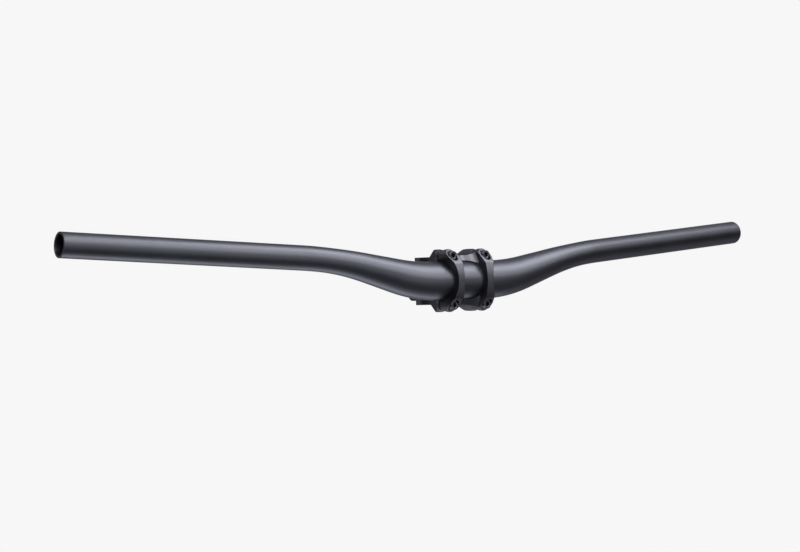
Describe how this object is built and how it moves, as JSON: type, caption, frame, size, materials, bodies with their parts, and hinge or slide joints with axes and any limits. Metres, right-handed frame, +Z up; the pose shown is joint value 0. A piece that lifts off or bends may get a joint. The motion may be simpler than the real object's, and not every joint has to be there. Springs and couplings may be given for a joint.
{
  "type": "riser handlebar with stem",
  "caption": "Wide riser handlebar, a bent and tapered hollow tube, held in a short stem by a windowed faceplate with socket head bolts.",
  "frame": {"origin": "on the axis of the steerer clamp, at half the stem's height", "axes": "+Z up the steerer axis; -Y forward, towards the bar and its faceplate; X along the bar, +X to the rider's left"},
  "size_m": [0.8034, 0.0833, 0.0792],
  "materials": {
    "bar": "satin black anodised, bead blasted",
    "stem": "black anodised, machined",
    "bolt": "black oxide"
  },
  "bodies": {
    "root": {"handlebar": "bar", "stem_body": "stem", "faceplate": "stem", "faceplate_bolt_upper_left": "bolt", "faceplate_bolt_upper_right": "bolt", "faceplate_bolt_lower_left": "bolt", "faceplate_bolt_lower_right": "bolt", "pinch_bolt_upper": "bolt", "pinch_bolt_lower": "bolt"}
  },
  "joints": []
}
